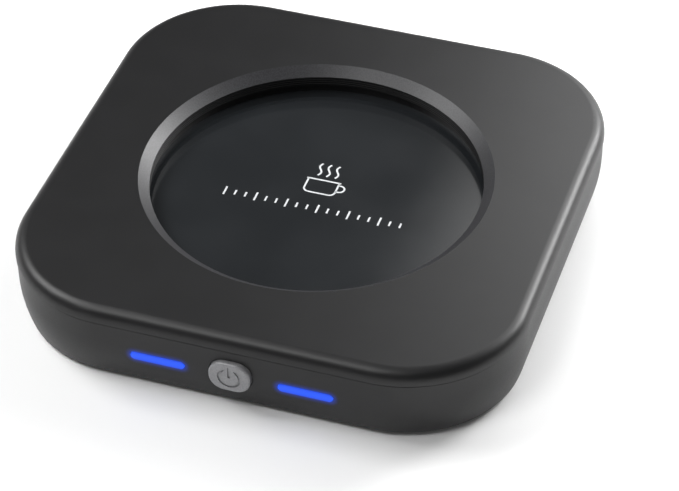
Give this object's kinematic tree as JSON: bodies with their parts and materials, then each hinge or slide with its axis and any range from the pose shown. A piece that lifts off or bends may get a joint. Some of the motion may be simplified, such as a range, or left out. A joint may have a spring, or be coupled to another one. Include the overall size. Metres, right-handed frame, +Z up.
{
  "type": "electric mug warmer",
  "caption": "Flat rounded-square desk mug warmer: a round recess with a glass heating plate in a two-part matt shell, with a front push button between light bars.",
  "frame": {"origin": "on the table, under the middle of the body", "axes": "+Z up; the button and light bars face -Y, the cord bush +Y; +X to the right seen from the front"},
  "size_m": [0.1142, 0.1162, 0.0194],
  "materials": {
    "black_casing": "moulded ABS with a fine matt texture",
    "power_button": "satin grey moulded ABS",
    "light_guide": "clear acrylic lit blue from behind",
    "glass": "black printed toughened glass, polished",
    "silicone": "black moulded silicone",
    "rubber": "matt black rubber",
    "carrier": "heat-resistant glass-filled nylon",
    "aluminium": "stamped sheet",
    "steel": "zinc-plated",
    "mica": "pressed mica sheet",
    "fibre": "ceramic fibre felt",
    "foil": "etched resistance foil",
    "brass": "tinned brass",
    "board": "glass-epoxy laminate with green mask",
    "black_package": "moulded epoxy",
    "terminal_green": "moulded polyamide",
    "can_sleeve": "shrink sleeve",
    "fuse_brown": "moulded cap",
    "white_package": "moulded package",
    "bead": "epoxy-coated bead",
    "lead_white": "silicone insulation",
    "cable_grey": "flat flexible cable"
  },
  "bodies": {
    "root": {"top_cover": "black_casing", "base_shell": "black_casing", "light_guide_left": "light_guide", "light_guide_right": "light_guide", "cord_bush": "rubber", "glass_plate": "glass", "plate_seal": "silicone", "plate_carrier": "carrier", "carrier_screws": "steel", "heat_spreader": "aluminium", "mica_sheet_top": "mica", "heating_track": "foil", "mica_sheet_bottom": "mica", "insulation_pad": "fibre", "heater_backplate": "steel", "backplate_screws": "steel", "heater_terminal_inner": "brass", "heater_terminal_outer": "brass", "thermal_fuse": "aluminium", "fuse_clip": "steel", "thermistor": "bead", "main_board": "board", "board_screws": "steel", "triac": "black_package", "smoothing_capacitor": "can_sleeve", "input_fuse": "fuse_brown", "terminal_block": "terminal_green", "control_chip": "black_package", "front_board": "board", "front_board_screws": "steel", "switch_housing": "black_package", "switch_cover": "steel", "switch_dome": "steel", "led_left": "white_package", "led_right": "white_package", "heater_lead_inner": "lead_white", "heater_lead_outer": "lead_white", "fuse_lead": "lead_white", "thermistor_lead_left": "lead_white", "thermistor_lead_right": "lead_white", "board_cable": "cable_grey", "cover_screws": "steel", "rubber_foot_front_left": "rubber", "rubber_foot_front_right": "rubber", "rubber_foot_rear_left": "rubber", "rubber_foot_rear_right": "rubber"},
    "button": {"power_button": "power_button"},
    "stem": {"switch_stem": "black_package"}
  },
  "joints": [
    {"name": "button_press", "type": "slide", "parent": "root", "child": "button", "axis": [0, 1, 0], "range_m": [0, 0.0005], "stiffness_N_per_m": 1500},
    {"name": "stem_press", "type": "slide", "parent": "root", "child": "stem", "axis": [0, 1, 0], "range_m": [0, 0.0005]}
  ],
  "couplings": [
    {"joint": "stem_press", "follows": "button_press", "ratio": 1}
  ]
}
